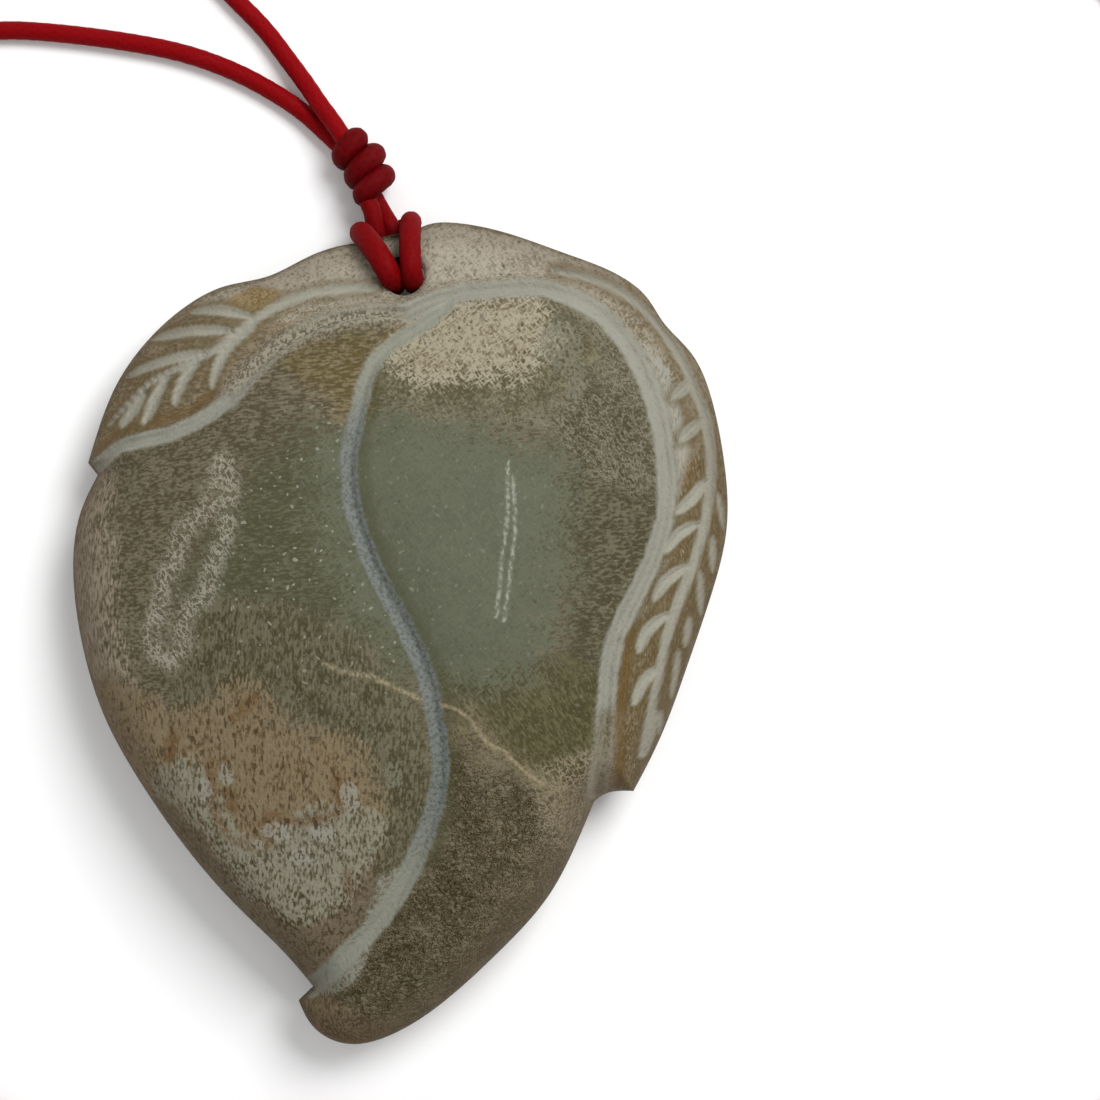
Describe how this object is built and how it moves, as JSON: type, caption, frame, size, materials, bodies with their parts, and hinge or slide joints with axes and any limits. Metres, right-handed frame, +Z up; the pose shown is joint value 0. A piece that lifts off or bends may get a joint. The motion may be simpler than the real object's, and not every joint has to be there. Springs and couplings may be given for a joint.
{
  "type": "carved stone pendant on a cord",
  "caption": "Peach-shaped carved stone pendant with an incised cleft and leaves, hitched on a limp braided neck cord with a wrapped knot.",
  "frame": {"origin": "on the surface that the stone lies on, under the middle of the stone's box", "axes": "+Z up, out of the carved front; +Y towards the drilled neck; +X to the right, seen from the front"},
  "size_m": [0.106, 0.1131, 0.0149],
  "materials": {
    "stone": "weathered, satin, with a cream patina, brown edges and rust spots",
    "cord": "fine braid"
  },
  "bodies": {
    "root": {"stone": "stone", "hitch": "cord", "knot": "cord", "neck_cord": "cord"}
  },
  "joints": []
}
